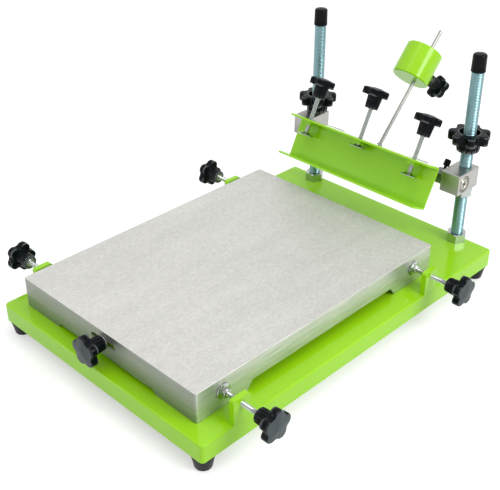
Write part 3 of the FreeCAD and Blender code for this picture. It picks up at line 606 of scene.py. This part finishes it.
# Where the CAD says that each node is
def reach_along(node, axis):
    """Start and end of a CAD node along an axis, both on its middle line."""
    axis = Vector(axis).normalized()
    side = axis.cross(ACROSS if abs(axis.x) < 0.9 else UP).normalized()
    other = axis.cross(side)
    spans = []
    for direction in (axis, side, other):
        values = [v.co.dot(direction) for v in nodes[node].data.vertices]
        spans.append((min(values), max(values)))
    middle = side * (sum(spans[1]) / 2) + other * (sum(spans[2]) / 2)
    return middle + axis * spans[0][0], middle + axis * spans[0][1]


def measured(node, axis):
    """Start of a CAD node along an axis, and its length."""
    start, stop = reach_along(node, axis)
    return start, (stop - start).length


def half_width(node):
    """Half of a CAD node's size along X."""
    low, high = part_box(node)
    return (high.x - low.x) / 2


# Carried-over CAD nodes get their finish
def coat(finish, *names):
    for name in names:
        mesh = nodes[name].data
        mesh.materials.clear()
        mesh.materials.append(finish)


coat(PAINT, "base_tray", "channel", "counterweight")
coat(PLATE, "platen")
coat(BRIGHT, "post_nut_left", "post_nut_right", "block_nut_left", "block_nut_right")
coat(ALUMINIUM, "block_left", "block_right", "arm_left", "arm_right")
coat(ROD, "weight_rod")

# Posts: M16 threaded rod
for side in OUTWARDS:
    name = "post_" + side
    low, tall = measured(name, UP)
    rod = threaded(half_width(name), tall, 2 * MM, 0.45 * MM, ZINC, around=32)
    piece("threaded_post_" + side, at(rod, low, UP), name)

# Caps on the posts: a dipped sleeve with a rolled mouth and a domed end
DOME_STEPS = 7
for side in OUTWARDS:
    name = "post_cap_" + side
    low, tall = measured(name, UP)
    radius = half_width(name)
    shoulder, dome_from = radius - 0.5 * MM, tall - 3.6 * MM
    sleeve = [(0, 0.3 * MM), (8.0 * MM, 0.3 * MM), (8.4 * MM, 0.0), (radius - 0.2 * MM, 0.0),
              (radius, 0.5 * MM), (radius, 1.6 * MM), (radius - 0.25 * MM, 2.2 * MM),
              (radius - 0.35 * MM, tall * 0.5), (shoulder, dome_from)]
    for i in range(1, DOME_STEPS + 1):
        turn = math.pi / 2 * i / DOME_STEPS
        sleeve.append((shoulder - 3.2 * MM * (1 - math.cos(turn)), dome_from + 3.0 * MM * math.sin(turn)))
    sleeve += [(shoulder * 0.4, tall - 0.25 * MM), (0, tall)]
    cap = joined(name, [(turned(sleeve), VINYL)])
    piece("sleeve_cap_" + side, at(cap, low, UP), name)

# Feet: rubber cones with a rounded tread and a screw recess under them
FOOT = in_mm([(0, 3), (4.4, 3), (4.8, 2.6), (5.1, 0.3), (5.5, 0), (8.4, 0), (9.3, 0.4), (9.9, 1.5),
              (12.4, 14.6), (12.6, 15.2), (13, 15.6), (13, 18), (0, 18)])
for end, side in CORNERS:
    name = "foot_%s_%s" % (end, side)
    foot = joined(name, [(turned(FOOT, segments=64), RUBBER)])
    piece("rubber_" + name, at(foot, reach_along(name, UP)[0], UP), name)


# Screws
def bush(length):
    """Steel insert that shows at the hub face of a knob on a screw of this length."""
    knob_seat = 9 * MM
    hub = length - knob_seat
    return turned([(0, hub - 0.6 * MM), (4.2 * MM, hub - 0.6 * MM), (4.6 * MM, hub - 0.3 * MM),
                   (4.6 * MM, hub + 1 * MM), (0, hub + 1 * MM)])


def screw(name, node, axis, heads, shank_from=0.0):
    """Bright screw in the place of a CAD screw: its heads, its threaded shank and the bush of its knob."""
    start, length = measured(node, axis)
    shank = at(m6(length - shank_from), (0, 0, shank_from), UP)
    whole = joined(node, [(part, BRIGHT) for part in heads + [shank, bush(length)]])
    piece(name, at(whole, start, axis), node)


# Side screws: pad and jam nut against the platen
PAD = in_mm([(0, 0), (8.9, 0), (9.5, 0.6), (9.4, 1.3), (8.6, 1.9), (5.5, 2.2), (0, 2.2)])
for end, side in CORNERS:
    node = "side_screw_%s_%s" % (end, side)
    pad_and_nut = [turned(PAD, segments=64), hex_nut(10 * MM, 5 * MM, PAD[-1][1])]
    screw("threaded_" + node, node, OUTWARDS[side], pad_and_nut, shank_from=2 * MM)

# Lock screw: washer against the platen's front wall, 0.3 mm off it
washer_at = reach_along("lock_screw", LOCK_AXIS)[0].y - (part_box("platen")[0].y - 0.3 * MM)
washer = turned(rounded(8.5 * MM, washer_at, washer_at + 1.5 * MM, 0.35 * MM), segments=64)
screw("threaded_lock_screw", "lock_screw", LOCK_AXIS, [washer])

# Clamp screws: swivel disc with a conical top as high as the weld nut above it allows
for tag in PRESSES:
    node = "clamp_screw_" + tag
    tip = 3.3 if tag == "middle" else 4.7
    disc = turned(in_mm([(0, 0), (10.3, 0), (11, 0.5), (11, 1.2), (10.5, 1.6), (8.0, tip * 0.52),
                         (6.0, tip * 0.7), (4.9, tip * 0.93), (4.6, tip), (0, tip)]), segments=64)
    screw("threaded_" + node, node, STEM_AXIS, [disc], shank_from=2.5 * MM)

# Set screw of the counterweight
screw("threaded_set_screw", "weight_screw", SET_SCREW_AXIS, [])


# Knobs and hand wheels
def fit_knob(node, axis, carrier, radius, new_name, degrees):
    """Star knob in the place of a CAD knob. Its axis is that of its round screw."""
    screw_start = reach_along(carrier, axis)[0]
    knob_start, height = measured(node, axis)
    start = screw_start + axis * (knob_start - screw_start).dot(axis)
    knob = lobed(KNOB_FORM, radius, valley=radius * 0.70, lobe_r=radius * 0.32, lobes=5,
                 hub_r=radius * 0.53, height=height, rim=1.1 * MM, ribs=12, rib_depth=radius * 0.04,
                 turn=math.radians(degrees))
    piece(new_name, at(joined(new_name, [(knob, None)]), start, axis), node)


SIDE_KNOB_R, SIDE_KNOB_TURN = 19 * MM, 26
for end, side in CORNERS:
    tag = end + "_" + side
    fit_knob("side_knob_" + tag, OUTWARDS[side], "side_screw_" + tag, SIDE_KNOB_R, "star_knob_" + tag,
             SIDE_KNOB_TURN)
fit_knob("lock_knob", LOCK_AXIS, "lock_screw", SIDE_KNOB_R, "star_knob_lock", SIDE_KNOB_TURN)
for tag in PRESSES:
    fit_knob("clamp_knob_" + tag, STEM_AXIS, "clamp_screw_" + tag, 18.5 * MM, "star_knob_clamp_" + tag, 0)
fit_knob("weight_knob", SET_SCREW_AXIS, "weight_screw", 16.5 * MM, "star_knob_weight", 20)

WHEEL_R = 27 * MM
for side in OUTWARDS:
    name = "hand_wheel_" + side
    wheel_low, wheel_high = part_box(name)
    foot = reach_along("post_" + side, UP)[0]
    foot.z = wheel_low.z
    wheel = lobed(WHEEL_FORM, WHEEL_R, valley=WHEEL_R * 0.74, lobe_r=WHEEL_R * 0.2, lobes=7,
                  hub_r=15.6 * MM, height=wheel_high.z - wheel_low.z, rim=2.0 * MM, ribs=14,
                  rib_depth=0.7 * MM)
    piece("lobed_wheel_" + side, at(joined(name, [(wheel, None)]), foot, UP), name)

# Bearings: outer and inner ring with a shield between two grooves, and a gap round the seat; the grooves and the
# gap are painted shade in dark steel
BEARING_RINGS = [
    ([(9.0, 0.3), (8.9, 5.4), (9.1, 5.9), (9.9, 5.9), (10.2, 5.5), (10.2, 0.2)], BEARING),
    ([(5.06, 0.3), (5.06, 5.6), (5.4, 5.9), (6.9, 5.9), (7.2, 5.6), (7.2, 0.2)], BEARING),
    ([(7.6, 1), (7.6, 5.2), (7.8, 5.4), (8.2, 5.4), (8.4, 5.2), (8.4, 1)], BEARING),
    # painted shade: dark steel in the grooves beside the shield and in the gap round the seat
    ([(7.1, 0.6), (7.1, 4.6), (9.3, 4.6), (9.3, 0.6)], SHADE_STEEL),
    ([(10.1, 0.4), (10.1, 4.9), (11, 4.9), (11, 0.4), (10.6, 0)], SHADE_STEEL)]
for side, out in OUTWARDS.items():
    name = "bearing_" + side
    rings = joined(name, [(turned(in_mm(outline), segments=64, loop=True), finish)
                          for outline, finish in BEARING_RINGS])
    piece("ball_bearing_" + side, at(rings, reach_along(name, out)[0], out), name)

# Shaft: ground bar with a drilled centre at each end
shaft_start, length = measured("shaft", ACROSS)
bar = turned([(0, 1.2 * MM), (1.9 * MM, 1.2 * MM), (2.1 * MM, 0), (4.4 * MM, 0), (5 * MM, 0.6 * MM),
              (5 * MM, length - 0.6 * MM), (4.4 * MM, length), (2.1 * MM, length),
              (1.9 * MM, length - 1.2 * MM), (0, length - 1.2 * MM)], segments=64)
# painted shade: a dark disc at the bottom of each drilled centre
holes = [(turned([(0, z), (1.85 * MM, z), (1.85 * MM, z + 0.3 * MM), (0, z + 0.3 * MM)]), SHADE_STEEL)
         for z in (1.0 * MM, length - 1.3 * MM)]
shaft = joined("shaft", [(bar, ROD)] + holes)
piece("ground_shaft", at(shaft, shaft_start, ACROSS), "shaft")

# Stop collar: chamfered ring, and a thumb screw with a knurled head, half way between the clamp's tilt and
# the leaning weight rod
CLAMP_TILT, ROD_LEAN = 26.8, 15.9
collar_low, collar_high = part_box("stop_collar")
ring_at = Vector((collar_low.x, shaft_start.y, shaft_start.z))
wide = collar_high.x - collar_low.x
collar = at(turned([(5.02 * MM, 0.4 * MM), (5.4 * MM, 0), (9.8 * MM, 0), (10.5 * MM, 0.7 * MM),
                    (10.5 * MM, wide - 0.7 * MM), (9.8 * MM, wide), (5.4 * MM, wide),
                    (5.02 * MM, wide - 0.4 * MM)], segments=96, loop=True), ring_at, ACROSS)
thumb_turn = math.radians(CLAMP_TILT + ROD_LEAN / 2)
thumb_at, thumb_axis = ring_at + ACROSS * wide / 2, Vector((0, math.sin(thumb_turn), math.cos(thumb_turn)))
stem = at(turned(in_mm([(0, 6), (2, 6), (2, 14), (0, 14)]), segments=32), thumb_at, thumb_axis)
head = in_mm([(0, 13.5), (3.4, 13.5), (4.2, 14.3), (4.2, 21.7), (3.4, 22.5), (2.2, 22.5), (2.0, 21.9),
              (0, 21.9)])
head = at(knurled(head, ribs=22, depth=0.35 * MM), thumb_at, thumb_axis)
whole = joined("collar", [(collar, WORN_OXIDE), (stem, OXIDE), (head, OXIDE)])
piece("collar_with_thumb_screw", whole, "stop_collar")

# Camera at the photograph's angle
eye, target = Vector((0.6815, -0.74969, 0.6848)), Vector((0.02709, -0.08821, 0.116))
camera = bpy.data.objects.new("camera", bpy.data.cameras.new("camera"))
bpy.context.scene.collection.objects.link(camera)
camera.location = eye
camera.rotation_mode = "QUATERNION"
camera.rotation_quaternion = (target - eye).to_track_quat("-Z", "Y")
camera.data.lens, camera.data.sensor_width = 66.9, 36.0
bpy.context.scene.camera = camera

# Studio: white floor and surroundings, a wide lamp overhead, one on the right, and a small low one for edges
FLOOR_REACH = 12.0
floor_corners = [(x * FLOOR_REACH, y * FLOOR_REACH, 0) for x, y in ((-1, -1), (1, -1), (1, 1), (-1, 1))]
floor_mesh = bpy.data.meshes.new("floor")
floor_mesh.from_pydata(floor_corners, [], [(0, 1, 2, 3)])
floor = bpy.data.objects.new("floor", floor_mesh)
bpy.context.scene.collection.objects.link(floor)
floor.location.z = -0.2 * MM


def background_seen(tree, level_out, level_seen):
    """Strength of the white surroundings: one level where they light the object, another where seen."""
    rays = add(tree, "ShaderNodeLightPath").outputs
    mirrored = add(tree, "ShaderNodeMath", {0: rays["Is Glossy Ray"], 1: rays["Is Transmission Ray"]},
                   operation="MAXIMUM")
    seen = add(tree, "ShaderNodeMath", {0: rays["Is Camera Ray"], 1: mirrored.outputs[0]},
               operation="MAXIMUM")
    return add(tree, "ShaderNodeMapRange", {"Value": seen.outputs[0], "To Min": level_out,
                                            "To Max": level_seen}).outputs["Result"]


paper = bpy.data.materials.new("white_paper_floor")
paper.use_nodes = True
tree = paper.node_tree
tree.nodes.clear()
matt = add(tree, "ShaderNodeBsdfDiffuse", {"Color": linear("#D8D8D8")})
glow = add(tree, "ShaderNodeEmission", {"Color": linear("#FFFFFF"),
                                        "Strength": background_seen(tree, 0.0, 0.45)})
both = add(tree, "ShaderNodeAddShader", {0: matt.outputs["BSDF"], 1: glow.outputs["Emission"]})
add(tree, "ShaderNodeOutputMaterial", {"Surface": both.outputs["Shader"]})
floor_mesh.materials.append(paper)

world = bpy.data.worlds.new("studio")
bpy.context.scene.world = world
world.use_nodes = True
tree = world.node_tree
tree.nodes.clear()
back = add(tree, "ShaderNodeBackground", {"Color": linear("#FFFFFF"),
                                          "Strength": background_seen(tree, 0.8, 1.0)})
add(tree, "ShaderNodeOutputWorld", {"Surface": back.outputs["Background"]})

# Each lamp: its name, place, size in metres and power in watts. All point at the middle of the machine.
LAMPS = (("wide_lamp", (-0.2, -0.2, 2.3), 1.5, 8.0), ("key_lamp", (1.7, 0.3, 1.3), 0.9, 20.0),
         ("edge_lamp", (-1.2, -1.6, 0.55), 0.25, 2.0))
AIM = Vector((0, 0, 0.1))
for name, place, size, watts in LAMPS:
    light = bpy.data.lights.new(name, "AREA")
    light.shape, light.size, light.energy = "SQUARE", size, watts
    lamp = bpy.data.objects.new(name, light)
    bpy.context.scene.collection.objects.link(lamp)
    lamp.location = place
    lamp.rotation_mode = "QUATERNION"
    lamp.rotation_quaternion = (AIM - Vector(place)).to_track_quat("-Z", "Y")

bpy.context.scene.view_settings.view_transform = "Standard"
